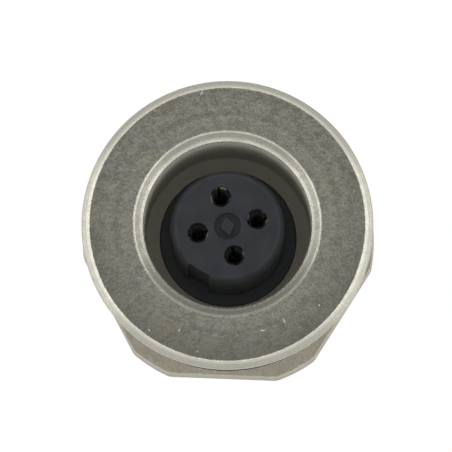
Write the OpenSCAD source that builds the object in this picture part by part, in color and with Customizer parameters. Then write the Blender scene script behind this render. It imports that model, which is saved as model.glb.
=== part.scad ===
// Circular M12 panel socket with four contacts: a turned shell that goes through a panel
// from the front, its seal, washer and hexagon lock nut, and the contact insert inside.
// The axis is Z with the mating face up, and the origin lies on the axis in the plane of
// the flange seat. All sizes are in millimetres.

/* [Flange] */
// Outer diameter of the flange lip
flange_d = 21.6; // [21:0.1:26]
// Thickness of the flange, from its seat to its front face
flange_t = 3.4; // [2.8:0.1:6]
// Radial width of the chamfer round the front face
rim_chamfer = 0.6; // [0.2:0.05:0.9]
// Depth of the chamfer round the front face
rim_chamfer_h = 0.5; // [0.2:0.05:0.9]
// Height of the straight land on the lip
lip_land = 0.2; // [0.1:0.05:0.8]
// Step from the lip in to the collar behind it
lip_step = 0.5; // [0.2:0.05:0.8]
// Edge break round the back of the collar
collar_break = 0.2; // [0.05:0.05:0.4]

/* [Bore] */
// Diameter of the smooth mating bore
bore_d = 12.4; // [11.5:0.1:12.8]
// Depth of the mating bore, from the front face to the ledge
bore_depth = 7.7; // [6:0.1:9]
// Radial width of the chamfer at the mouth
mouth_chamfer = 0.75; // [0.3:0.05:1]
// Depth of the chamfer at the mouth
mouth_chamfer_h = 0.65; // [0.3:0.05:1]
// Opening inside the ledge
ledge_d = 10.3; // [9.8:0.1:11]
// Thickness of the ledge
ledge_t = 1; // [0.6:0.1:2]
// Wall between the rear well and the thread relief
neck_wall = 0.75; // [0.5:0.05:0.95]
// Chamfer at the mouth of the rear well
well_chamfer = 0.3; // [0.1:0.05:0.5]

/* [Neck] */
// Major diameter of the neck thread
thread_d = 15.9; // [15.5:0.05:17]
// Length of the neck behind the seat
neck_l = 16; // [15.5:0.5:24]
// Depth of the thread relief below the crests of the thread
relief_depth = 0.8; // [0.5:0.05:0.9]
// Length of the thread relief
relief_l = 1.8; // [1:0.1:3]
// Chamfer at the end of the neck
neck_chamfer = 0.6; // [0.3:0.1:1]

/* [Panel fixings] */
// Radial width of the panel seal
seal_w = 2.35; // [1:0.05:2.5]
// Thickness of the panel seal
seal_t = 1.25; // [0.8:0.05:2]
// Distance from the flange seat to the washer
grip = 4.9; // [2.5:0.1:7]
// Radial width of the lock washer, teeth included
washer_w = 1.65; // [1.3:0.05:2]
// Thickness of the lock washer
washer_t = 0.8; // [0.5:0.1:1.5]
// Number of inner teeth on the lock washer
washer_teeth = 14; // [8:1:20]
// Radial length of the washer teeth
tooth_l = 0.8; // [0.4:0.1:1]
// Part of the pitch that a tooth gap takes
tooth_gap = 0.45; // [0.3:0.05:0.7]
// Size of the lock nut across its flats
nut_af = 20.5; // [19:0.1:24]
// How far the turned corners of the lock nut stand out past the flange
nut_proud = 0.225; // [0:0.025:0.5]
// Thickness of the lock nut
nut_t = 2; // [1.5:0.1:5]
// Angle of the lock nut about the axis
nut_angle = -2.3; // [-30:0.1:30]
// Edge break round the lock nut
nut_break = 0.15; // [0.05:0.05:0.4]
// Countersink at both ends of the nut thread
nut_sink = 0.4; // [0.1:0.1:0.8]

/* [Insert] */
// Diameter of the insert tower
tower_d = 8.5; // [8:0.1:9.5]
// Depth of the tower face below the front face
face_recess = 1.16; // [0.5:0.02:3]
// Radial width of the rounded nose on the tower
nose_w = 0.44; // [0.1:0.02:0.6]
// Height of the rounded nose on the tower
nose_h = 1.3; // [0.3:0.1:2]
// Width of the coding keyway
key_w = 1.8; // [1:0.1:2.2]
// Depth of the coding keyway
key_depth = 0.42; // [0.2:0.02:0.6]
// Angle of the coding keyway about the axis
key_angle = 238; // [0:1:359]
// Length of the narrow hole at both ends of the room for a contact spring
hole_lip = 1; // [0.6:0.1:1.4]
// Thickness of the insert flange
insert_flange_t = 2.6; // [2:0.1:4]
// Outer diameter of the blanked centre position
blank_d = 2; // [1.4:0.1:2.4]
// Long diagonal of the island in the blanked position
island_long = 1.5; // [0.8:0.05:1.9]
// Short diagonal of the island in the blanked position
island_wide = 1.15; // [0.6:0.05:1.5]
// Depth of the blanked position
blank_depth = 0.3; // [0.1:0.05:1]
// Width of the groove for the insert seal
ring_groove_w = 1.2; // [1:0.1:1.6]
// Depth of the groove for the insert seal
ring_groove_depth = 0.9; // [0.7:0.05:1.1]
// Thickness of the contact retainer
retainer_t = 1.4; // [1:0.1:2.5]
// Thickness of the clamp ring
clamp_t = 1.5; // [1:0.1:2]
// Radial width of the clamp ring
clamp_w = 1.55; // [1.2:0.05:2]
// Width of the spanner slots in the clamp ring
clamp_slot_w = 1.4; // [1:0.1:2]
// Depth of the spanner slots in the clamp ring
clamp_slot_depth = 0.7; // [0.4:0.1:0.9]

/* [Contacts] */
// Diameter of the circle that the contacts stand on
contact_pcd = 4.5; // [4.3:0.05:5]
// Outer diameter of the contact sleeve and of its solder cup
contact_d = 1.5; // [1.3:0.05:1.7]
// Bore of the contact sleeve
contact_bore = 1.06; // [0.9:0.02:1.1]
// Depth of the bore of the contact sleeve
contact_bore_l = 6.4; // [4:0.1:7.4]
// Radial width of the lead-in at the mouth of the contact sleeve
contact_lead = 0.2; // [0.05:0.01:0.21]
// Length of the lead-in at the mouth of the contact sleeve
contact_lead_l = 0.45; // [0.1:0.05:0.8]
// Depth of the contact below the tower face
contact_recess = 0.35; // [0.1:0.05:1]
// Width of the slot that parts the two tines
tine_slot = 0.22; // [0.15:0.01:0.3]
// Length of the tines
tine_l = 4.5; // [3:0.1:6]
// Diameter of the collar that holds the contact
contact_collar_d = 2.1; // [1.8:0.05:2.4]
// Thickness of the collar that holds the contact
contact_collar_t = 0.6; // [0.4:0.1:1]
// Length of the solder cup behind the retainer
cup_out = 2.2; // [1.5:0.1:2.6]
// Depth of the solder cup
cup_depth = 2; // [1:0.1:3]
// Bore of the solder cup
cup_bore = 1.1; // [0.8:0.05:1.2]
// Length of the open side of the solder cup
cup_window = 1.4; // [0.6:0.1:1.8]
// Wall of the spring round the tines
spring_t = 0.1; // [0.06:0.01:0.15]
// Length of the spring round the tines
spring_l = 3; // [2:0.1:4]
// Width of the slit along the spring
spring_slit = 0.3; // [0.2:0.05:0.5]

/* [Clearances] */
// Radial clearance between the thread and the nut
thread_clear = 0.06; // [0.02:0.01:0.1]
// Radial clearance between the neck and the washer
washer_clear = 0.1; // [0.05:0.01:0.3]
// Radial clearance between the neck and the panel seal
seal_clear = 0.1; // [0.05:0.01:0.3]
// Radial clearance of the insert pieces in the shell
insert_clear = 0.05; // [0.02:0.01:0.1]
// Radial clearance of the contacts in their holes
contact_clear = 0.015; // [0.01:0.005:0.05]
// Radial room round the contact spring
spring_room = 0.05; // [0.02:0.01:0.1]
// Squeeze room left round the insert seal
ring_clear = 0.02; // [0.01:0.01:0.05]

/* [Hidden] */
$fn = 96;
fine = 32;
contact_count = 4;

nickel = [0.62, 0.61, 0.57];
zinc = [0.7, 0.71, 0.72];
black_nylon = [0.16, 0.17, 0.19];
black_rubber = [0.08, 0.08, 0.08];
grey_nylon = [0.3, 0.31, 0.33];
gold = [0.83, 0.66, 0.3];
spring_steel = [0.66, 0.67, 0.68];

eps = 0.01;
collar_d = flange_d - 2 * lip_step;
ledge_z = flange_t - bore_depth;
well_z = ledge_z - ledge_t;
rim_z = -neck_l;
washer_z = -grip - washer_t;
nut_z = washer_z - nut_t;
tower_z = flange_t - face_recess;
insert_z = well_z - insert_flange_t;
retainer_z = insert_z - retainer_t;
clamp_z = retainer_z - clamp_t;
cup_z = retainer_z - cup_out;
relief_d = thread_d - 2 * relief_depth;
well_d = relief_d - 2 * neck_wall;
seal_bore = thread_d + 2 * seal_clear;
washer_bore = thread_d + 2 * washer_clear;
nut_corner_d = flange_d + 2 * nut_proud;
insert_d = well_d - 2 * insert_clear;
hole_d = contact_d + 2 * contact_clear;
spring_top = tower_z - hole_lip - spring_room;
ring_root_r = insert_d / 2 - ring_groove_depth;
ring_section = well_d / 2 - ring_root_r - 2 * ring_clear;

function contact_angle(i) = key_angle + 180 + 360 / contact_count * (i - 0.5);

module at_contact(i) {
    rotate(contact_angle(i)) translate([contact_pcd / 2, 0, 0]) children();
}

// Plain tube between two heights
module tube(outer_d, inner_d, low_z, high_z) {
    translate([0, 0, low_z]) difference() {
        cylinder(d = outer_d, h = high_z - low_z);
        translate([0, 0, -eps]) cylinder(d = inner_d, h = high_z - low_z + 2 * eps);
    }
}

// Turned shell: chamfered flange with a thin lip, smooth bore with a ledge, threaded neck
module shell() {
    flange_r = flange_d / 2;
    collar_r = collar_d / 2;
    neck_r = thread_d / 2;
    bore_r = bore_d / 2;
    well_r = well_d / 2;
    lip_z = flange_t - rim_chamfer_h;
    color(nickel) rotate_extrude() polygon([
        [bore_r + mouth_chamfer, flange_t],
        [flange_r - rim_chamfer, flange_t],
        [flange_r, lip_z],
        [flange_r, lip_z - lip_land],
        [collar_r, lip_z - lip_land - lip_step],
        [collar_r, collar_break],
        [collar_r - collar_break, 0],
        [relief_d / 2, 0],
        [relief_d / 2, -relief_l],
        [neck_r, -relief_l - (neck_r - relief_d / 2)],
        [neck_r, rim_z + neck_chamfer],
        [neck_r - neck_chamfer, rim_z],
        [well_r + well_chamfer, rim_z],
        [well_r, rim_z + well_chamfer],
        [well_r, well_z],
        [ledge_d / 2, well_z],
        [ledge_d / 2, ledge_z],
        [bore_r, ledge_z],
        [bore_r, flange_t - mouth_chamfer_h]]);
}

// Flat rubber ring between the flange and the panel
module panel_seal() {
    color(black_rubber) tube(seal_bore + 2 * seal_w, seal_bore, -seal_t, 0);
}

// Flat ring with inner teeth that bite behind the panel
module lock_washer() {
    gap_w = PI * washer_bore / washer_teeth * tooth_gap;
    color(zinc) difference() {
        tube(washer_bore + 2 * washer_w, washer_bore, washer_z, washer_z + washer_t);
        for (i = [0 : washer_teeth - 1]) rotate(360 / washer_teeth * i)
            translate([washer_bore / 2 - tooth_l, -gap_w / 2, washer_z - eps])
                cube([2 * tooth_l, gap_w, washer_t + 2 * eps]);
    }
}

// Bar as wide as the nut across its flats, with its long edges broken
module nut_bar() {
    half = nut_af / 2;
    rotate([90, 0, 90]) translate([0, 0, -nut_af]) linear_extrude(2 * nut_af) polygon([
        [-half, nut_break], [-half + nut_break, 0], [half - nut_break, 0], [half, nut_break],
        [half, nut_t - nut_break], [half - nut_break, nut_t],
        [-half + nut_break, nut_t], [-half, nut_t - nut_break]]);
}

// Hexagon lock nut with its corners turned down
module lock_nut() {
    corner_r = nut_corner_d / 2;
    thread_r = thread_d / 2 + thread_clear;
    color(nickel) translate([0, 0, nut_z]) rotate(nut_angle) intersection() {
        nut_bar();
        rotate(60) nut_bar();
        rotate(120) nut_bar();
        rotate_extrude() polygon([
            [thread_r + nut_sink, 0],
            [corner_r - nut_break, 0],
            [corner_r, nut_break],
            [corner_r, nut_t - nut_break],
            [corner_r - nut_break, nut_t],
            [thread_r + nut_sink, nut_t],
            [thread_r, nut_t - nut_sink],
            [thread_r, nut_sink]]);
    }
}

// Moulded insert: tower with a rounded nose, keyway and contact holes, on a flange
module insert() {
    tower_r = tower_d / 2;
    spigot_r = ledge_d / 2 - insert_clear;
    flange_r = insert_d / 2;
    groove_z = well_z - insert_flange_t / 2 + ring_groove_w / 2;
    nose_steps = 8;
    color(black_nylon) difference() {
        rotate_extrude() polygon(concat(
            [[0, tower_z]],
            [for (i = [0 : nose_steps]) [
                tower_r - nose_w + nose_w * sin(90 / nose_steps * i),
                tower_z - nose_h + nose_h * cos(90 / nose_steps * i)]],
            [[tower_r, ledge_z],
            [spigot_r, ledge_z],
            [spigot_r, well_z],
            [flange_r, well_z],
            [flange_r, groove_z],
            [ring_root_r, groove_z],
            [ring_root_r, groove_z - ring_groove_w],
            [flange_r, groove_z - ring_groove_w],
            [flange_r, insert_z],
            [0, insert_z]]));
        rotate(key_angle) translate([tower_r - key_depth, -key_w / 2, ledge_z])
            cube([tower_r, key_w, bore_depth]);
        for (i = [1 : contact_count]) at_contact(i) contact_hole();
        translate([0, 0, tower_z - blank_depth]) blank_position();
    }
}

// Stepped hole for one contact
module contact_hole() {
    room_d = hole_d + 2 * (spring_t + spring_room);
    room_z = insert_z + contact_collar_t + hole_lip;
    room_h = tower_z - hole_lip - room_z;
    translate([0, 0, insert_z - eps]) {
        cylinder(d = hole_d, h = tower_z - insert_z + 2 * eps, $fn = fine);
        cylinder(d = contact_collar_d + 2 * contact_clear, h = contact_collar_t + eps, $fn = fine);
    }
    translate([0, 0, room_z]) cylinder(d = room_d, h = room_h, $fn = fine);
}

// Round recess with a diamond island, where a centre contact would be
module blank_position() {
    difference() {
        cylinder(d = blank_d, h = blank_depth + eps, $fn = fine);
        rotate(contact_angle(1)) translate([0, 0, -eps])
            linear_extrude(blank_depth + 3 * eps) polygon([
                [island_long / 2, 0], [0, island_wide / 2],
                [-island_long / 2, 0], [0, -island_wide / 2]]);
    }
}

// Rubber ring in the groove of the insert
module insert_seal() {
    ring_r = ring_root_r + ring_clear + ring_section / 2;
    color(black_rubber) translate([0, 0, well_z - insert_flange_t / 2])
        rotate_extrude() translate([ring_r, 0]) circle(d = ring_section, $fn = fine);
}

// Socket contact: slotted sleeve, holding collar and solder cup
module contact(i) {
    front_z = tower_z - contact_recess;
    collar_z = insert_z + contact_collar_t;
    contact_r = contact_d / 2;
    color(gold) at_contact(i) difference() {
        rotate_extrude($fn = fine) polygon([
            [0, front_z - contact_bore_l],
            [contact_bore / 2, front_z - contact_bore_l],
            [contact_bore / 2, front_z - contact_lead_l],
            [contact_bore / 2 + contact_lead, front_z],
            [contact_r, front_z],
            [contact_r, collar_z],
            [contact_collar_d / 2, collar_z],
            [contact_collar_d / 2, insert_z],
            [contact_r, insert_z],
            [contact_r, cup_z],
            [cup_bore / 2, cup_z],
            [cup_bore / 2, cup_z + cup_depth],
            [0, cup_z + cup_depth]]);
        translate([-contact_r - eps, -tine_slot / 2, front_z - tine_l])
            cube([contact_d + 2 * eps, tine_slot, tine_l + eps]);
        translate([0, -contact_r, cup_z - eps])
            cube([contact_d, contact_d, cup_window + eps]);
    }
}

// Slit steel tube that closes the tines round a pin
module contact_spring(i) {
    spring_d = hole_d + 2 * spring_t;
    color(spring_steel) at_contact(i) difference() {
        tube(spring_d, hole_d, spring_top - spring_l, spring_top);
        translate([-spring_slit / 2, 0, spring_top - spring_l - eps])
            cube([spring_slit, spring_d, spring_l + 2 * eps]);
    }
}

// Disc that holds the contact collars in the insert
module contact_retainer() {
    color(grey_nylon) difference() {
        translate([0, 0, retainer_z]) cylinder(d = insert_d, h = retainer_t);
        for (i = [1 : contact_count]) at_contact(i) translate([0, 0, retainer_z - eps])
            cylinder(d = hole_d, h = retainer_t + 2 * eps, $fn = fine);
    }
}

// Ring that clamps the insert in the well, with two spanner slots
module clamp_ring() {
    color(nickel) difference() {
        tube(insert_d, insert_d - 2 * clamp_w, clamp_z, retainer_z);
        translate([-insert_d / 2 - eps, -clamp_slot_w / 2, clamp_z - eps])
            cube([insert_d + 2 * eps, clamp_slot_w, clamp_slot_depth + eps]);
    }
}

shell();
panel_seal();
lock_washer();
lock_nut();
insert();
insert_seal();
contact(1);  // contact_1
contact(2);  // contact_2
contact(3);  // contact_3
contact(4);  // contact_4
contact_spring(1);  // contact_spring_1
contact_spring(2);  // contact_spring_2
contact_spring(3);  // contact_spring_3
contact_spring(4);  // contact_spring_4
contact_retainer();
clamp_ring();
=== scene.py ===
import math

import bpy
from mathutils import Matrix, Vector


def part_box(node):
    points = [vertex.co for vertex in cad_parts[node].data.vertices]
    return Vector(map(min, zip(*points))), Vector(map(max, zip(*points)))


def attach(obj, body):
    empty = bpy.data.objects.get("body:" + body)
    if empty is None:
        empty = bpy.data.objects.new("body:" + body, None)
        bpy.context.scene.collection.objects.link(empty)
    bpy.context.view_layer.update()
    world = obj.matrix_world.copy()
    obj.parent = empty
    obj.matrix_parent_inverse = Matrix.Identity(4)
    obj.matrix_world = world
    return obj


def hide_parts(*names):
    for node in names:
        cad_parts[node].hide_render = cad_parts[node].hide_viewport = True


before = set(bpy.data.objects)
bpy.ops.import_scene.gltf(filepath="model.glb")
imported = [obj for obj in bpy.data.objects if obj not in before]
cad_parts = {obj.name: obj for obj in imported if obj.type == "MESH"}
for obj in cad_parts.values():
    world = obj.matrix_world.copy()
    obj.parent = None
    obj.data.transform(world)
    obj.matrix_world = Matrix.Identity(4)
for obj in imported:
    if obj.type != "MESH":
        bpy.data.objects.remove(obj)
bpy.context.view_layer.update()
mm = 0.001

shellLow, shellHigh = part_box("shell")
insertLow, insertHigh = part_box("insert")
nutLow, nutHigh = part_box("lock_nut")
sealLow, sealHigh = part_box("panel_seal")
frontZ = shellHigh.z / mm  # mating face
rimZ = shellLow.z / mm  # rear rim of the neck
flangeR = shellHigh.x / mm
towerZ = insertHigh.z / mm
insertZ = insertLow.z / mm
boreDepth = 7.7  # from the mating face to the ledge
contactRecess = 0.35  # from the tower's face to the mouths of the contacts


studio = {
    "tilt": 8.7, "swing": -3.2, "distance": 0.35, "lens": 377.7,  # degrees, degrees, metres, mm
    "framing": (-0.099, -0.188),  # where the axis sits in the picture, in mm
    "clip": (0.005, 20),  # nearest and farthest that the camera sees, in metres
    "skyEdge": 0.86, "skyMiddle": 0.52, "skyTop": 0.135,  # brightness at the horizon, half way, overhead
    "skyStops": (0.15, 0.7, 0.97),  # heights of those three, from 0 at the horizon to 1 overhead
    "skyLean": 12.0,  # how far the dark ceiling leans to the camera's side, in degrees
    "skySlope": 0.3,  # how much brighter the walls are on the camera's side than beyond the object
    "sidePower": 0.36, "sideWidth": 0.7, "sideHigh": 0.35,  # softboxes: watts, metres, metres
    "sideDistance": 0.5, "sideHeight": 0.1,  # where they stand, in metres
    "floorSize": 6, "floorGrey": 0.92, "floorGlow": 0.62,
}


def deselectAll():
    if bpy.context.mode != "OBJECT":
        bpy.ops.object.mode_set(mode="OBJECT")
    bpy.ops.object.select_all(action="DESELECT")


def makeCamera():
    tilt, swing = math.radians(studio["tilt"]), math.radians(studio["swing"])
    back = Vector((-math.sin(tilt) * math.sin(swing), -math.sin(tilt) * math.cos(swing), math.cos(tilt)))
    target = Vector((studio["framing"][0] * mm, studio["framing"][1] * mm, frontZ * mm))
    up = Vector((0, 1, 0)) - back * back.y  # keeps the object's Y upright in the picture
    up.normalize()
    right = up.cross(back)
    bpy.ops.object.camera_add(location=target + back * studio["distance"])
    camera = bpy.context.object
    camera.rotation_mode = "QUATERNION"
    turn = camera.matrix_world.to_3x3()
    for row in range(3):
        turn[row] = (right[row], up[row], back[row])
    camera.rotation_quaternion = turn.to_quaternion()
    camera.data.lens = studio["lens"]
    camera.data.clip_start, camera.data.clip_end = studio["clip"]
    bpy.context.scene.camera = camera


def makeWorld():
    world = bpy.data.worlds.new("studioRoom")
    bpy.context.scene.world = world
    world.use_nodes = True
    nodes, links = world.node_tree.nodes, world.node_tree.links
    background, output = nodes["Background"], nodes["World Output"]
    direction = nodes.new("ShaderNodeTexCoord")
    height = nodes.new("ShaderNodeVectorMath")
    height.operation = "DOT_PRODUCT"
    lean = math.radians(studio["skyLean"])
    height.inputs[1].default_value = (0, -math.sin(lean), math.cos(lean))
    ramp = nodes.new("ShaderNodeValToRGB")
    links.new(direction.outputs["Generated"], height.inputs[0])
    links.new(height.outputs["Value"], ramp.inputs["Fac"])
    stops = ramp.color_ramp.elements
    edge, middle, top = studio["skyStops"]
    stops[0].position, stops[1].position = edge, top
    stops.new(middle)
    for stop, level in zip(stops, ("skyEdge", "skyMiddle", "skyTop")):
        stop.color = (studio[level], studio[level], studio[level], 1)
    links.new(ramp.outputs["Color"], background.inputs["Color"])
    split = nodes.new("ShaderNodeSeparateXYZ")
    slope = nodes.new("ShaderNodeMath")
    slope.operation = "MULTIPLY_ADD"
    slope.inputs[1].default_value, slope.inputs[2].default_value = -studio["skySlope"], 1
    links.new(direction.outputs["Generated"], split.inputs[0])
    links.new(split.outputs["Y"], slope.inputs[0])
    links.new(slope.outputs[0], background.inputs["Strength"])
    paper = nodes.new("ShaderNodeBackground")  # what the camera sees beyond the floor
    paper.inputs["Color"].default_value = (1, 1, 1, 1)
    rays = nodes.new("ShaderNodeLightPath")
    mix = nodes.new("ShaderNodeMixShader")
    links.new(rays.outputs["Is Camera Ray"], mix.inputs["Fac"])
    links.new(background.outputs[0], mix.inputs[1])
    links.new(paper.outputs[0], mix.inputs[2])
    links.new(mix.outputs[0], output.inputs["Surface"])


def makeSoftbox(name, x, y):
    bpy.ops.object.light_add(type="AREA", location=(x, y, studio["sideHeight"]))
    lamp = bpy.context.object
    lamp.name = name
    lamp.data.energy = studio["sidePower"]
    lamp.data.shape = "RECTANGLE"
    lamp.data.size, lamp.data.size_y = studio["sideWidth"], studio["sideHigh"]
    lamp.visible_camera = False
    lamp.rotation_mode = "QUATERNION"
    lamp.rotation_quaternion = Vector(lamp.location).to_track_quat("Z", "Y")


def makeFloor():
    bpy.ops.mesh.primitive_plane_add(size=studio["floorSize"], location=(0, 0, rimZ * mm))
    floor = bpy.context.object
    floor.name = "floor"
    bpy.ops.object.transform_apply(location=True)
    paper = bpy.data.materials.new("floorPaper")
    paper.use_nodes = True
    nodes, links = paper.node_tree.nodes, paper.node_tree.links
    shader, output = nodes["Principled BSDF"], nodes["Material Output"]
    grey = studio["floorGrey"]
    shader.inputs["Base Color"].default_value = (grey, grey, grey, 1)
    shader.inputs["Roughness"].default_value = 1
    shader.inputs["Specular IOR Level"].default_value = 0
    glow = nodes.new("ShaderNodeEmission")  # only for what is seen, mirrored or seen through
    rays = nodes.new("ShaderNodeLightPath")
    seenOrMirrored = nodes.new("ShaderNodeMath")
    seenOrMirrored.operation = "MAXIMUM"
    anyOfThree = nodes.new("ShaderNodeMath")
    anyOfThree.operation = "MAXIMUM"
    strength = nodes.new("ShaderNodeMath")
    strength.operation = "MULTIPLY"
    strength.inputs[1].default_value = studio["floorGlow"]
    add = nodes.new("ShaderNodeAddShader")
    links.new(rays.outputs["Is Camera Ray"], seenOrMirrored.inputs[0])
    links.new(rays.outputs["Is Glossy Ray"], seenOrMirrored.inputs[1])
    links.new(seenOrMirrored.outputs[0], anyOfThree.inputs[0])
    links.new(rays.outputs["Is Transmission Ray"], anyOfThree.inputs[1])
    links.new(anyOfThree.outputs[0], strength.inputs[0])
    links.new(strength.outputs[0], glow.inputs["Strength"])
    links.new(shader.outputs[0], add.inputs[0])
    links.new(glow.outputs[0], add.inputs[1])
    links.new(add.outputs[0], output.inputs["Surface"])
    floor.data.materials.append(paper)


deselectAll()
makeCamera()
makeWorld()
makeSoftbox("softboxLeft", -studio["sideDistance"], 0)
makeSoftbox("softboxRight", studio["sideDistance"], 0)
makeFloor()
bpy.context.scene.view_settings.view_transform = "Standard"
print("studio ready")


mergeWithin = 1e-7  # metres


def softened(corners, steps=4):  # corners are radius, height and rounding, in mm
    longest = 0.45  # share of a side that its rounding may take
    points = []
    count = len(corners)
    for index, (r, z, rounding) in enumerate(corners):
        corner = Vector((r, z))
        if rounding == 0:
            points.append((r, z))
            continue
        before = Vector(corners[index - 1][:2]) - corner
        after = Vector(corners[(index + 1) % count][:2]) - corner
        start = corner + before.normalized() * min(rounding, before.length * longest)
        end = corner + after.normalized() * min(rounding, after.length * longest)
        for step in range(steps + 1):
            t = step / steps
            point = start * (1 - t) ** 2 + corner * 2 * t * (1 - t) + end * t ** 2
            points.append((point.x, point.y))
    return points


def finishMesh(piece, angle=30):
    bpy.ops.object.mode_set(mode="EDIT")
    bpy.ops.mesh.select_all(action="SELECT")
    bpy.ops.mesh.remove_doubles(threshold=mergeWithin)
    bpy.ops.mesh.normals_make_consistent(inside=False)
    bpy.ops.object.mode_set(mode="OBJECT")
    bpy.ops.object.shade_smooth_by_angle(angle=math.radians(angle))
    return piece


def turned(name, outline, segments=192, closed=True):
    deselectAll()
    firstR, firstZ = outline[0]
    start = (0, 0, firstZ * mm)
    bpy.ops.mesh.primitive_circle_add(vertices=segments, radius=firstR * mm, location=start)
    piece = bpy.context.object
    piece.name = piece.data.name = name
    bpy.ops.object.transform_apply(location=True, rotation=False, scale=False)
    bpy.ops.object.mode_set(mode="EDIT")
    bpy.ops.mesh.select_all(action="SELECT")
    rings = outline[1:] + (outline[:1] if closed else [])
    lastR, lastZ = firstR, firstZ
    for r, z in rings:
        bpy.ops.mesh.extrude_region_move(TRANSFORM_OT_translate={"value": (0, 0, (z - lastZ) * mm)})
        bpy.ops.transform.resize(value=(r / lastR, r / lastR, 1), center_override=(0, 0, z * mm))
        lastR, lastZ = r, z
    if not closed:
        bpy.ops.mesh.select_all(action="SELECT")
        bpy.ops.mesh.fill_holes(sides=0)
    return finishMesh(piece)


def carve(piece, cutter, operation="DIFFERENCE"):
    deselectAll()
    cut = piece.modifiers.new("carve", "BOOLEAN")
    cut.operation, cut.object, cut.solver = operation, cutter, "EXACT"
    bpy.context.view_layer.objects.active = piece
    piece.select_set(True)
    bpy.ops.object.modifier_apply(modifier=cut.name)
    bpy.data.objects.remove(cutter)
    return piece


def applyPlace(piece, **what):
    deselectAll()
    piece.select_set(True)
    bpy.context.view_layer.objects.active = piece
    bpy.ops.object.transform_apply(**{"location": False, "rotation": False, "scale": False, **what})


def copied(piece, name, turn):
    deselectAll()
    piece.select_set(True)
    bpy.context.view_layer.objects.active = piece
    bpy.ops.object.duplicate()
    twin = bpy.context.object
    twin.name = twin.data.name = name
    twin.rotation_euler = (0, 0, math.radians(turn))
    applyPlace(twin, rotation=True)
    return twin


def block(name, size, centre, turn=0, rounding=0):
    deselectAll()
    bpy.ops.mesh.primitive_cube_add(size=1, location=[value * mm for value in centre])
    piece = bpy.context.object
    piece.name = piece.data.name = name
    piece.scale = [value * mm for value in size]
    bpy.ops.object.transform_apply(location=True, rotation=False, scale=True)
    if rounding:
        bevel = piece.modifiers.new("rounding", "BEVEL")
        bevel.width, bevel.segments = rounding * mm, 3
        bpy.ops.object.modifier_apply(modifier=bevel.name)
    piece.rotation_euler = (0, 0, math.radians(turn))
    bpy.ops.object.transform_apply(location=False, rotation=True, scale=False)
    return piece


def place(piece, body, material, *nodes):
    piece.data.materials.clear()
    piece.data.materials.append(material)
    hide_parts(*nodes)
    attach(piece, body)


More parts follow.
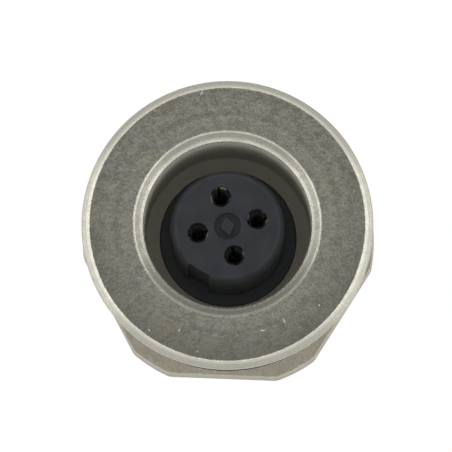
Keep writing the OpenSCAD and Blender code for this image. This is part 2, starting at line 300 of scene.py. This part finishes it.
class Finish:

    def __init__(self, name):
        self.material = bpy.data.materials.new(name)
        self.material.use_nodes = True
        self.nodes = self.material.node_tree.nodes
        self.links = self.material.node_tree.links
        self.shader = self.nodes["Principled BSDF"]
        self.coords = self.nodes.new("ShaderNodeTexCoord").outputs["Object"]

    def grain(self, size, detail=2.0, roughness=0.5):
        noise = self.nodes.new("ShaderNodeTexNoise")
        noise.inputs["Scale"].default_value = 1 / (size * mm)
        noise.inputs["Detail"].default_value = detail
        noise.inputs["Roughness"].default_value = roughness
        self.links.new(self.coords, noise.inputs["Vector"])
        return noise.outputs["Fac"]

    def ramp(self, source, stops):
        node = self.nodes.new("ShaderNodeValToRGB")
        elements = node.color_ramp.elements
        while len(elements) < len(stops):
            elements.new(0.5)
        for element, (position, colour) in zip(elements, stops):
            element.position = position
            element.color = (*colour, 1)
        self.links.new(source, node.inputs["Fac"])
        return node.outputs["Color"]

    def spread(self, source, low, high, fromLow=0.3, fromHigh=0.7):
        node = self.nodes.new("ShaderNodeMapRange")
        values = (fromLow, fromHigh, low, high)
        for name, value in zip(("From Min", "From Max", "To Min", "To Max"), values):
            self.feed(node.inputs[name], value)
        self.links.new(source, node.inputs["Value"])
        return node.outputs["Result"]

    def feed(self, socket, value):  # a number, a colour or another node's output
        if isinstance(value, (int, float)):
            socket.default_value = value
        elif isinstance(value, tuple):
            socket.default_value = (*value, 1)
        else:
            self.links.new(value, socket)

    def math(self, operation, first, second):
        node = self.nodes.new("ShaderNodeMath")
        node.operation = operation
        self.feed(node.inputs[0], first)
        self.feed(node.inputs[1], second)
        return node.outputs[0]

    def blend(self, colour, factor, other, kind="MIX"):
        node = self.nodes.new("ShaderNodeMix")
        node.data_type, node.blend_type = "RGBA", kind
        for slot, value in ((0, factor), (6, colour), (7, other)):  # the mix node's sockets for colours
            self.feed(node.inputs[slot], value)
        return node.outputs[2]

    def tint(self, colour, other):
        return self.blend(colour, 1, other, "MULTIPLY")

    def along(self, axis):
        split = self.nodes.new("ShaderNodeSeparateXYZ")
        self.links.new(self.coords, split.inputs[0])
        return split.outputs[axis]

    def radius(self):
        squares = [self.math("MULTIPLY", self.along(axis), self.along(axis)) for axis in "XY"]
        return self.math("SQRT", self.math("ADD", *squares), 0)

    def nicks(self, places, width):
        every = None
        for angle, r, length, turn in places:  # each mark is a long thin ellipse on the front face
            place = self.nodes.new("ShaderNodeMapping")
            place.vector_type = "TEXTURE"
            x, y = r * math.cos(math.radians(angle)), r * math.sin(math.radians(angle))
            place.inputs["Location"].default_value = (x * mm, y * mm, frontZ * mm)
            place.inputs["Rotation"].default_value = (0, 0, math.radians(turn))
            place.inputs["Scale"].default_value = (length / 2 * mm, width / 2 * mm, mm)
            reach = self.nodes.new("ShaderNodeVectorMath")
            reach.operation = "LENGTH"
            self.links.new(self.coords, place.inputs["Vector"])
            self.links.new(place.outputs["Vector"], reach.inputs[0])
            mark = self.spread(reach.outputs["Value"], 1.0, 0.0, 0.7, 1.0)
            every = self.math("MAXIMUM", every, mark) if every else mark
        return every

    def turningMarks(self, spacing):
        across = self.nodes.new("ShaderNodeCombineXYZ")  # the same all the way round the axis
        self.links.new(self.radius(), across.inputs["X"])
        self.links.new(self.along("Z"), across.inputs["Y"])
        noise = self.nodes.new("ShaderNodeTexNoise")
        noise.inputs["Scale"].default_value = 1 / (spacing * mm)
        noise.inputs["Detail"].default_value = 1
        self.links.new(across.outputs[0], noise.inputs["Vector"])
        return noise.outputs["Fac"]

    def bump(self, height, depth, strength=1.0, under=None):
        node = self.nodes.new("ShaderNodeBump")
        node.inputs["Distance"].default_value = depth * mm
        node.inputs["Strength"].default_value = strength
        self.links.new(height, node.inputs["Height"])
        if under:
            self.links.new(under, node.inputs["Normal"])
        return node.outputs["Normal"]

    def set(self, **values):
        for name, value in values.items():
            self.feed(self.shader.inputs[name.replace("_", " ")], value)
        return self.material


tumbled = {
    "fineGrain": 0.15, "broadGrain": 0.6, "dentGrain": 0.34, "stainGrain": 1.4,  # mm
    "fineShare": 0.5, "mottling": (0.405, 0.595),  # a narrower band makes stronger mottling
    "stains": [(0.36, (0.94, 0.975, 0.97)), (0.64, (1.0, 0.98, 0.92))],
    "fleckGrain": 0.2, "fleckBand": (0.67, 0.73), "fleckAmount": 0.7, "fleckTone": (0.95, 0.94, 0.87),
    "pitGrain": 0.26, "pitBand": (0.7, 0.75), "pitAmount": 0.4, "pitTone": (0.2, 0.195, 0.17),
    "roughVaries": 0.1, "roughBand": (0.38, 0.62),
    "turnedRelief": 0.12, "rearRelief": 0.25,  # share of the relief left on turned faces and behind the face
    "fineDepth": 0.04, "dentDepth": 0.06, "reliefStrength": 0.7,  # mm, mm
}


def tumbledNickelAndPaintedLight(name, dark, light, rough, metal, rear, turnedFinishAndPaintedLight=None):
    finish = Finish(name)
    v = tumbled
    fine = finish.grain(v["fineGrain"], detail=3, roughness=0.6)
    broad = finish.grain(v["broadGrain"], detail=3, roughness=0.6)
    mixed = finish.math("ADD", finish.math("MULTIPLY", fine, v["fineShare"]),
                        finish.math("MULTIPLY", broad, 1 - v["fineShare"]))
    colour = finish.ramp(mixed, list(zip(v["mottling"], (dark, light))))
    stains = finish.ramp(finish.grain(v["stainGrain"], 3), v["stains"])
    colour = finish.tint(colour, stains)
    flecks = finish.spread(finish.grain(v["fleckGrain"], 1), 0.0, v["fleckAmount"], *v["fleckBand"])
    colour = finish.blend(colour, flecks, v["fleckTone"])
    pits = finish.spread(finish.grain(v["pitGrain"], 1), 0.0, v["pitAmount"], *v["pitBand"])
    colour = finish.blend(colour, pits, v["pitTone"])
    roughness = finish.spread(mixed, rough + v["roughVaries"], rough - v["roughVaries"], *v["roughBand"])
    metallic, relief = metal, fine
    dents = finish.grain(v["dentGrain"], 2)
    if turnedFinishAndPaintedLight:
        t = turnedFinishAndPaintedLight
        reach = finish.math("MULTIPLY", finish.radius(), 1 / (flangeR * mm))
        smooth = finish.ramp(reach, [(position, (amount,) * 3) for position, amount in t["smooth"]])
        marks = finish.ramp(finish.turningMarks(t["marks"]),
                            [(0.35, t["markDark"]), (0.65, t["markLight"])])
        # painted light and shade, in rings round the axis
        paintedLightAndShade = finish.ramp(reach, [(position, (shade,) * 3) for position, shade in t["paintedLightAndShade"]])
        colour = finish.tint(finish.blend(colour, smooth, marks), paintedLightAndShade)
        rest = finish.spread(smooth, 1.0, v["turnedRelief"], 0.0, 1.0)
        relief, dents = finish.math("MULTIPLY", fine, rest), finish.math("MULTIPLY", dents, rest)
        inside = finish.spread(reach, 1.0, 0.0, t["boreFrom"], t["boreTo"])
        metallic = finish.spread(inside, metal, t["boreMetal"], 0.0, 1.0)
        roughness = finish.math("ADD", roughness, finish.math("MULTIPLY", inside, t["boreRougher"]))
        roughness = finish.math("ADD", roughness, finish.math("MULTIPLY", smooth, t["smoothRougher"]))
        nicks = finish.nicks(t["nicks"], t["nickWidth"])
        colour = finish.blend(colour, nicks, t["nickTone"])
        metallic = finish.math("MULTIPLY", metallic, finish.math("SUBTRACT", 1.0, nicks))
    fadeLow = (rear["below"] - rear["fade"]) * mm
    behind = finish.spread(finish.along("Z"), 1.0, 0.0, fadeLow, rear["below"] * mm)
    if turnedFinishAndPaintedLight:
        behind = finish.math("MULTIPLY", behind, finish.spread(reach, 0.0, 1.0, *t["neckFrom"]))
    colour = finish.blend(colour, finish.math("MULTIPLY", behind, rear["calm"]), rear["tone"])
    metallic = finish.spread(behind, metallic, 1.0, 0.0, 1.0)
    rearRough = finish.spread(broad, rear["rough"] + rear["roughVaries"], rear["rough"])
    roughness = finish.spread(behind, roughness, rearRough, 0.0, 1.0)
    rest = finish.spread(behind, 1.0, v["rearRelief"], 0.0, 1.0)
    relief, dents = finish.math("MULTIPLY", relief, rest), finish.math("MULTIPLY", dents, rest)
    skin = finish.bump(relief, v["fineDepth"], v["reliefStrength"],
                       finish.bump(dents, v["dentDepth"], v["reliefStrength"]))
    return finish.set(Base_Color=colour, Metallic=metallic, Roughness=roughness, Normal=skin,
                      Specular_Tint=rear["edgeTint"])


def mouldedNylon(name, dark, light, toneAndHighlight=None):
    finish = Finish(name)
    fine = finish.grain(0.06, 2)
    broad = finish.grain(1.6, 2)
    colour = finish.ramp(broad, [(0.35, dark), (0.65, light)])
    if toneAndHighlight:  # lighter and bluer towards the floor of the socket, and a painted highlight round the edge of the nose
        deep = finish.spread(finish.along("Z"), toneAndHighlight["amount"], 0.0, toneAndHighlight["floor"] * mm, toneAndHighlight["top"] * mm)
        colour = finish.blend(colour, deep, toneAndHighlight["tone"])
        # painted highlight: a lighter ring, broken in patches, where the flat face of the tower meets its
        # nose
        off = finish.math("ABSOLUTE", finish.math("SUBTRACT", finish.radius(), toneAndHighlight["highlightR"] * mm), 0)
        highlightFull, highlightEnd = toneAndHighlight["highlightBand"]
        noseHighlight = finish.spread(off, toneAndHighlight["highlightAmount"], 0.0, highlightFull * mm, highlightEnd * mm)
        uneven = finish.spread(finish.grain(toneAndHighlight["highlightGrain"], 1), 0.2, 1.0, 0.42, 0.58)
        noseHighlight = finish.math("MULTIPLY", noseHighlight, uneven)
        colour = finish.blend(colour, noseHighlight, toneAndHighlight["highlightTone"])
    return finish.set(Base_Color=colour, Roughness=finish.spread(fine, 0.42, 0.58), Specular_IOR_Level=0.35,
                      Normal=finish.bump(fine, 0.006, 0.6))


goldAndPaintedLight = {
    "dark": (0.8, 0.65, 0.36), "light": (1.0, 0.9, 0.66),
    # painted shade down the holes: nearly black near the mouth, paler grey deeper
    "paintedShadeDeep": (0.4, 0.41, 0.39), "paintedShadeNear": (0.03, 0.032, 0.032), "deep": 1.2,  # colours, mm
    "glintDepth": 0.22, "cupFade": 0.2, "glintMetal": 0.15,  # mm, mm, share
    "patchGrain": 0.9, "patchBand": (0.54, 0.62),
}


def goldPaintedGlintAndShade(name, mouthZ):  # painted glints at the mouth of each hole, in patches, painted shade down the holes, and gold that shines on the solder cups
    finish = Finish(name)
    v = goldAndPaintedLight
    fine = finish.grain(0.08, 2)
    colour = finish.ramp(fine, [(0.3, v["dark"]), (0.7, v["light"])])
    height = finish.along("Z")
    litZ = mouthZ - v["glintDepth"]
    sleeve = finish.spread(height, 0.0, 1.0, litZ * mm, mouthZ * mm)
    patchy = finish.spread(finish.grain(v["patchGrain"], 1), 0.0, 1.0, *v["patchBand"])
    cup = finish.spread(height, 1.0, 0.0, (insertZ - v["cupFade"]) * mm, insertZ * mm)
    # painted glints: bright gold in patches on the top of each sleeve
    glint = finish.math("MULTIPLY", sleeve, patchy)
    lit = finish.math("MAXIMUM", glint, cup)
    metallic = finish.math("MAXIMUM", finish.math("MULTIPLY", glint, v["glintMetal"]), cup)
    shaded = finish.math("SUBTRACT", 1.0, lit)
    # painted shade: nearly black just below the mouths, paler grey deeper down, in place of gold
    depth = finish.spread(height, 0.0, 1.0, (mouthZ - v["deep"]) * mm, litZ * mm)
    inside = finish.ramp(depth, [(0.0, v["paintedShadeDeep"]), (1.0, v["paintedShadeNear"])])
    colour = finish.blend(colour, shaded, inside)
    return finish.set(Base_Color=colour, Metallic=metallic,
                      Roughness=finish.spread(fine, 0.22, 0.34), Normal=finish.bump(fine, 0.003, 0.5))


def brightSteel(name, tone):
    finish = Finish(name)
    fine = finish.grain(0.09, 3)
    colour = finish.ramp(fine, [(0.3, tuple(value * 0.8 for value in tone)), (0.7, tone)])
    return finish.set(Base_Color=colour, Metallic=1.0, Roughness=finish.spread(fine, 0.25, 0.42),
                      Normal=finish.bump(fine, 0.006, 0.5))


def blackRubber(name):
    finish = Finish(name)
    fine = finish.grain(0.05, 3)
    tones = [(0.3, (0.012, 0.012, 0.012)), (0.7, (0.022, 0.022, 0.021))]
    return finish.set(Base_Color=finish.ramp(finish.grain(0.7, 2), tones), Specular_IOR_Level=0.08,
                      Roughness=finish.spread(fine, 0.6, 0.85), Normal=finish.bump(fine, 0.01, 0.6))


flangeFinishAndPaintedLight = {  # positions are shares of the flange's radius
    "smooth": [(0.0, 1.0), (0.64, 1.0), (0.647, 0.0), (0.942, 0.0), (0.95, 0.9), (1.0, 0.9)],
    # painted light and shade by radius: painted highlights at the edges of the mouth and rim chamfers,
    # painted shade across both chamfers, the outer face and the lip's land
    "paintedLightAndShade": [(0.0, 0.94), (0.591, 0.94), (0.598, 0.74), (0.606, 0.55), (0.63, 0.47), (0.637, 0.97),
               (0.647, 0.97), (0.73, 0.98), (0.752, 0.84), (0.775, 0.86), (0.8, 0.89), (0.938, 0.73),
               (0.948, 1.0), (0.962, 1.0), (0.97, 0.74), (0.988, 0.72), (1.0, 0.5)],
    "marks": 0.05, "markDark": (0.75, 0.73, 0.625), "markLight": (0.86, 0.835, 0.72),
    "smoothRougher": -0.1,
    "boreFrom": 0.5735, "boreTo": 0.5765, "boreMetal": 0.0, "boreRougher": 0.3,
    "neckFrom": (0.648, 0.652), "nickWidth": 0.12, "nickTone": (0.97, 0.96, 0.92),
    "nicks": [(101, 9.98, 0.42, 64), (-60, 8.36, 0.5, 112), (-72, 8.38, 0.42, 7), (-42, 9.1, 0.2, 130),
              (-114, 8.7, 0.24, 60), (-103, 9.76, 0.14, 20), (-126, 9.8, 0.2, -40)],
    # each nick: angle and radius of its place, length, turn
}
shellRear = {"below": frontZ - 0.5, "fade": 0.06, "tone": (0.5, 0.485, 0.43), "calm": 0.8, "rough": 0.2,
             "roughVaries": 0.05, "edgeTint": (1, 1, 1)}
# painted shade: the nut's sides and underside, below its face, take a darker tone than the face
nutRear = {"below": nutHigh.z / mm - 0.02, "fade": 0.08, "tone": (0.45, 0.435, 0.395), "calm": 0.85,
           "rough": 0.26, "roughVaries": 0.05,
           "edgeTint": (0.55, 0.54, 0.5)}  # the sides shine less when seen along them
nickelShell = tumbledNickelAndPaintedLight("tumbledNickelAndPaintedLight", (0.475, 0.46, 0.395), (0.875, 0.85, 0.745),
                            rough=0.4, metal=0.95, rear=shellRear, turnedFinishAndPaintedLight=flangeFinishAndPaintedLight)
# painted light: pale colours on the nut's face, lighter than the shell's nickel
nickelPlain = tumbledNickelAndPaintedLight("plainNickelAndPaintedLight", (0.74, 0.68, 0.55), (0.93, 0.86, 0.71),
                            rough=0.46, metal=0.15, rear=nutRear)
# lighter and bluer towards the floor of the socket, and a painted highlight round the nose
socketToneAndHighlight = {"amount": 0.85, "floor": frontZ - boreDepth, "top": towerZ - 1.4, "tone": (0.155, 0.168, 0.2),
              # painted highlight round the edge of the nose, at this radius
              "highlightR": 3.81, "highlightAmount": 0.35, "highlightTone": (0.13, 0.135, 0.15),
              "highlightBand": (0.02, 0.09), "highlightGrain": 1.1}  # mm either side of the radius, mm
nylonBlack = mouldedNylon("blackNylon", (0.053, 0.058, 0.066), (0.067, 0.073, 0.082), socketToneAndHighlight)
nylonGrey = mouldedNylon("greyNylon", (0.07, 0.075, 0.08), (0.09, 0.095, 0.1))
rubberBlack = blackRubber("blackRubber")
gold = goldPaintedGlintAndShade("goldPaintedGlintAndShade", towerZ - contactRecess)
zincSteel = brightSteel("zincSteel", (0.6, 0.61, 0.62))
springSteel = brightSteel("springSteel", (0.5, 0.5, 0.5))
print("finishes ready")


shell = {
    "mouthW": 0.75, "mouthH": 0.65, "boreR": 6.2, "boreDepth": boreDepth, "ledgeR": 5.15, "ledgeT": 1.0,
    "wellR": 6.4, "wellChamfer": 0.3, "rimW": 0.6, "rimH": 0.5, "land": 0.2, "lipStep": 0.5,
    "collarBreak": 0.2, "reliefR": 7.15, "reliefL": 1.8, "crestR": 7.95, "rootR": 7.06, "pitch": 1.5,
    "endChamfer": 0.6, "troughR": 8.2, "troughW": 0.16, "troughDepth": 0.012,
    "crown": 0.09,  # how far the face falls towards the rim, which leaves a rim chamfer 0.41 high
    "overCrest": 0.12, "underRoot": 0.06, "endGap": 0.02, "trimBelow": 0.4,
    "flank": 30, "threadSteps": 96,  # degrees, steps in a turn
}


def threadRidge(name, crest, root, crestHalf, rootHalf, low, high):
    deselectAll()
    bpy.ops.mesh.primitive_plane_add(size=1)
    ridge = bpy.context.object
    ridge.name = ridge.data.name = name
    corners = ((root, -rootHalf), (crest, -crestHalf), (crest, crestHalf), (root, rootHalf))
    order = sorted(ridge.data.vertices, key=lambda v: math.atan2(v.co.y, v.co.x))
    for vertex, (r, z) in zip(order, corners):
        vertex.co = (r * mm, 0, (low + z) * mm)
    bpy.ops.object.mode_set(mode="EDIT")
    bpy.ops.mesh.select_all(action="SELECT")
    bpy.ops.mesh.delete(type="ONLY_FACE")
    bpy.ops.object.mode_set(mode="OBJECT")
    turns = math.ceil((high - low) / shell["pitch"])
    wind = ridge.modifiers.new("wind", "SCREW")
    wind.axis, wind.angle, wind.iterations = "Z", math.tau, turns
    wind.screw_offset = shell["pitch"] * mm
    wind.steps = wind.render_steps = shell["threadSteps"]
    wind.use_smooth_shade = False
    bpy.ops.object.modifier_apply(modifier=wind.name)
    bpy.ops.object.mode_set(mode="EDIT")
    bpy.ops.mesh.select_all(action="SELECT")
    bpy.ops.mesh.remove_doubles(threshold=10 * mergeWithin)  # joins the turns before the ends are closed
    bpy.ops.mesh.fill_holes(sides=0)
    return finishMesh(ridge)


def makeShell():
    s = shell
    collarR = flangeR - s["lipStep"]
    lipZ = frontZ - s["rimH"]
    ledgeZ = frontZ - s["boreDepth"]
    wellZ = ledgeZ - s["ledgeT"]
    trough, side, troughZ = s["troughR"], s["troughW"], frontZ - s["troughDepth"]
    corners = [
        (s["boreR"] + s["mouthW"], frontZ, 0.07), (trough - 2 * side, frontZ, 0.1),
        (trough - side * 0.5, troughZ, 0.06), (trough + side * 0.5, troughZ, 0.06),
        (trough + 2 * side, frontZ, 0.1), (flangeR - s["rimW"], frontZ - s["crown"], 0.06),
        (flangeR, lipZ, 0.1),
        (flangeR, lipZ - s["land"], 0.07), (collarR, lipZ - s["land"] - s["lipStep"], 0.05),
        (collarR, s["collarBreak"], 0.05), (collarR - s["collarBreak"], 0, 0.04),
        (s["reliefR"], 0, 0.1), (s["reliefR"], -s["reliefL"], 0.05), (s["rootR"], -s["reliefL"] - 0.1, 0),
        (s["rootR"], rimZ, 0.0), (s["wellR"] + s["wellChamfer"], rimZ, 0.04),
        (s["wellR"], rimZ + s["wellChamfer"], 0.04), (s["wellR"], wellZ, 0), (s["ledgeR"], wellZ, 0),
        (s["ledgeR"], ledgeZ, 0.05), (s["boreR"], ledgeZ, 0.08), (s["boreR"], frontZ - s["mouthH"], 0.1)]
    piece = turned("shellTurned", softened(corners))
    flank = math.tan(math.radians(s["flank"]))
    crestHalf = s["pitch"] / 16 - s["overCrest"] * flank
    rootHalf = s["pitch"] / 16 + (s["crestR"] - s["rootR"] + s["underRoot"]) * flank
    endZ = rimZ + s["endGap"]
    ridge = threadRidge("neckThread", s["crestR"] + s["overCrest"], s["rootR"] - s["underRoot"],
                        crestHalf, rootHalf, rimZ - s["pitch"], -s["reliefL"] + s["pitch"])
    trim = turned("threadEnvelope", [
        (s["rootR"] - s["trimBelow"], -s["reliefL"]), (s["reliefR"], -s["reliefL"]),
        (s["crestR"], -s["reliefL"] - (s["crestR"] - s["reliefR"])), (s["crestR"], endZ + s["endChamfer"]),
        (s["crestR"] - s["endChamfer"], endZ), (s["rootR"] - s["trimBelow"], endZ)])
    carve(ridge, trim, "INTERSECT")
    carve(piece, ridge, "UNION")
    finishMesh(piece)
    place(piece, "socket", nickelShell, "shell")
    print("shell ready")


makeShell()


insert = {
    "towerR": 4.25, "noseW": 0.44, "noseH": 1.3, "ledgeZ": frontZ - shell["boreDepth"], "spigotR": 5.1,
    "flangeR": 6.35, "flangeTop": -5.3, "grooveTop": -6.0, "grooveLow": -7.2, "grooveR": 5.45,
    "keyW": 1.8, "keyDepth": 0.42, "keyAngle": 238.0, "footRounding": 0.15,
    "holeR": 0.765, "holeFlare": 0.05, "roomR": 0.915, "roomTop": towerZ - 1.0, "roomLow": insertZ + 1.6,
    "seatR": 1.065, "seatH": 0.6, "pitchR": 2.25,
    "blankR": 1.0, "blankDepth": 0.3, "blankDraft": 0.04, "blankLip": 0.05,
    "islandLong": 0.75, "islandWide": 0.575, "islandRounding": 0.1, "islandRoot": 0.2,
    "keyRounding": 0.12, "noseStep": 9, "poleR": 0.05,  # mm, degrees, mm
    "past": 0.5,  # how far a cutter runs past a face
}


def contactAngle(number):
    return insert["keyAngle"] + 225 + 90 * (number - 1)


def holeCutter(name, angle):
    i = insert
    flare, hole = i["holeFlare"], i["holeR"]
    outline = [(i["seatR"], insertZ - i["past"]), (i["seatR"], insertZ + i["seatH"]),
               (hole, insertZ + i["seatH"]), (hole, i["roomLow"]), (i["roomR"], i["roomLow"]),
               (i["roomR"], i["roomTop"]), (hole, i["roomTop"]), (hole, towerZ - flare),
               (hole + flare * 0.3, towerZ - flare * 0.35),  # makes the flare a rounding
               (hole + flare, towerZ), (hole + flare, towerZ + i["past"])]
    cutter = turned(name, outline, segments=48, closed=False)
    turn = math.radians(angle)
    cutter.location = (i["pitchR"] * mm * math.cos(turn), i["pitchR"] * mm * math.sin(turn), 0)
    applyPlace(cutter, location=True)
    return cutter


def makeInsert():
    i = insert
    nose = [(i["towerR"] - i["noseW"] + i["noseW"] * math.sin(math.radians(a)),
             towerZ - i["noseH"] + i["noseH"] * math.cos(math.radians(a)), 0)
            for a in range(0, 91, i["noseStep"])]
    corners = [(i["poleR"], towerZ, 0)] + nose + [
        (i["towerR"], i["ledgeZ"], i["footRounding"]), (i["spigotR"], i["ledgeZ"], 0.05),
        (i["spigotR"], i["flangeTop"], 0), (i["flangeR"], i["flangeTop"], 0.08),
        (i["flangeR"], i["grooveTop"], 0.04), (i["grooveR"], i["grooveTop"], 0.05),
        (i["grooveR"], i["grooveLow"], 0.05), (i["flangeR"], i["grooveLow"], 0.04),
        (i["flangeR"], insertZ, 0.08), (i["poleR"], insertZ, 0)]
    piece = turned("insertMoulded", softened(corners), segments=144, closed=False)
    for number in range(1, 5):
        carve(piece, holeCutter(f"hole{number}", contactAngle(number)))
    long, high = 3, 9  # the keyway's cutter runs out past the tower and its nose
    key = block("keyway", (long, i["keyW"], high),
                (i["towerR"] - i["keyDepth"] + long / 2, 0, i["ledgeZ"] + high / 2),
                i["keyAngle"], i["keyRounding"])
    carve(piece, key)
    blankR, blankZ, lip = i["blankR"], towerZ - i["blankDepth"], i["blankLip"]
    recess = turned("blankRecess", [(blankR - i["blankDraft"], blankZ), (blankR, blankZ + i["blankDraft"]),
                                    (blankR, towerZ - lip), (blankR + lip, towerZ),
                                    (blankR + lip, towerZ + i["blankDepth"])], segments=64, closed=False)
    carve(piece, recess)
    tall = i["blankDepth"] + i["islandRoot"]  # its foot sinks into the insert
    island = block("blankIsland", (1, 1, tall), (0, 0, towerZ - tall / 2), 45)  # a square on its corner
    island.scale = (i["islandWide"] * 2 / math.sqrt(2), i["islandLong"] * 2 / math.sqrt(2), 1)
    applyPlace(island, scale=True)
    island.rotation_euler = (0, 0, math.radians((contactAngle(1) - 90) % 360))  # its long way lies along Y
    applyPlace(island, rotation=True)
    bevel = island.modifiers.new("rounding", "BEVEL")
    bevel.width, bevel.segments = i["islandRounding"] * mm, 3
    bpy.ops.object.modifier_apply(modifier=bevel.name)
    carve(piece, island, "UNION")
    finishMesh(piece)
    place(piece, "socket", nylonBlack, "insert")
    print("insert ready")


makeInsert()

contact = {
    "r": 0.75, "boreR": 0.53, "boreL": 6.4, "lead": 0.2, "recess": contactRecess,
    "collarR": 1.05, "collarT": 0.6, "leadH": 0.45,
    "cupZ": -11.5, "cupR": 0.55, "cupDepth": 2.0, "cupWindow": 1.4, "slot": 0.22, "tineL": 4.5,
    "poleR": 0.02,  # where an outline stops short of the axis
    "past": 0.5,  # how far a cutter runs past a face
    "slotCutter": 3, "windowCutter": 1.6,  # both wider than the sleeve
}


def makeContacts():
    c = contact
    front = towerZ - c["recess"]
    collarZ = insertZ + c["collarT"]
    first = turned("contactMaster", softened([
        (c["boreR"] + c["lead"], front, 0), (c["r"], front, 0.01),
        (c["r"], collarZ, 0), (c["collarR"], collarZ, 0.03),
        (c["collarR"], insertZ, 0.03), (c["r"], insertZ, 0),
        (c["r"], c["cupZ"], 0.04), (c["cupR"], c["cupZ"], 0.04),
        (c["cupR"], c["cupZ"] + c["cupDepth"], 0.1), (c["poleR"], c["cupZ"] + c["cupDepth"], 0),
        (c["poleR"], front - c["boreL"], 0), (c["boreR"], front - c["boreL"], 0.05),
        (c["boreR"], front - c["leadH"], 0.1)]), segments=64)
    wide, past = c["windowCutter"], c["past"]
    carve(first, block("tineSlot", (c["slotCutter"], c["slot"], c["tineL"] + 2 * past),
                       (0, 0, front - c["tineL"] / 2 + past)))
    carve(first, block("cupWindow", (wide, wide, c["cupWindow"] + 2 * past),
                       (wide / 2, 0, c["cupZ"] + c["cupWindow"] / 2 - past)))
    first.location = (insert["pitchR"] * mm, 0, 0)
    applyPlace(first, location=True)
    for number in range(1, 5):
        twin = copied(first, f"contactTurned{number}", contactAngle(number))
        finishMesh(twin)
        place(twin, "socket", gold, f"contact_{number}")
    bpy.data.objects.remove(first)
    print("contacts ready")


makeContacts()


nut = {"across": 20.5, "cornerR": 11.025, "turn": -2.3, "boreR": 8.01, "sink": 0.4, "edge": 0.15,
       "washerGap": 0.01, "flatSteps": 26, "cornerSteps": 14}


def hexagonal(piece):
    n = nut
    sixth = math.tau / 6
    flat = math.acos(n["across"] / 2 / n["cornerR"])  # half the angle that a flat takes
    steps = n["flatSteps"] + n["cornerSteps"]
    for vertex in piece.data.vertices:
        r = math.hypot(vertex.co.x, vertex.co.y) / mm
        step = round(math.atan2(vertex.co.y, vertex.co.x) / sixth * steps) % (6 * steps)
        side, part = divmod(step, steps)
        if part <= n["flatSteps"]:
            turn = flat * (2 * part / n["flatSteps"] - 1)
            if r > n["cornerR"] - 0.01:  # the outer rings, not those of the bore
                r = n["across"] / 2 / math.cos(turn)
        else:
            turn = flat + (sixth - 2 * flat) * (part - n["flatSteps"]) / n["cornerSteps"]
        angle = (side + 0.5) * sixth + turn + math.radians(n["turn"])
        vertex.co.x, vertex.co.y = r * mm * math.cos(angle), r * mm * math.sin(angle)


def makeNut():
    n = nut
    low, high = nutLow.z / mm, nutHigh.z / mm - n["washerGap"]
    bore, sink = n["boreR"], n["sink"]
    outline = [(bore + sink, low), (n["cornerR"], low), (n["cornerR"], high), (bore + sink, high),
               (bore, high - sink), (bore, low + sink)]
    piece = turned("nutHexagon", outline, 6 * (n["flatSteps"] + n["cornerSteps"]))
    hexagonal(piece)
    bevel = piece.modifiers.new("edges", "BEVEL")
    bevel.width, bevel.segments, bevel.angle_limit = n["edge"] * mm, 3, math.radians(15)
    bpy.ops.object.modifier_apply(modifier=bevel.name)
    finishMesh(piece)
    place(piece, "nut", nickelPlain, "lock_nut")
    print("nut ready")


makeNut()


def makeSeal():
    low, high = sealLow.z / mm, sealHigh.z / mm
    outer = sealHigh.x / mm
    inner = shell["crestR"] + 0.1
    corners = [(inner, low, 0.1), (outer, low, 0.05), (outer, high, 0.05), (inner, high, 0.1)]
    piece = turned("sealRing", softened(corners))
    place(piece, "socket", rubberBlack, "panel_seal")
    print("seal ready")


makeSeal()


keptSolids = {"lock_washer": zincSteel, "insert_seal": rubberBlack, "contact_retainer": nylonGrey,
              "clamp_ring": nickelPlain}  # these keep the CAD node's own mesh
keptSolids.update({f"contact_spring_{number}": springSteel for number in range(1, 5)})
for name, material in keptSolids.items():
    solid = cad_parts[name]
    solid.data.materials.clear()
    solid.data.materials.append(material)
print("solids dressed")
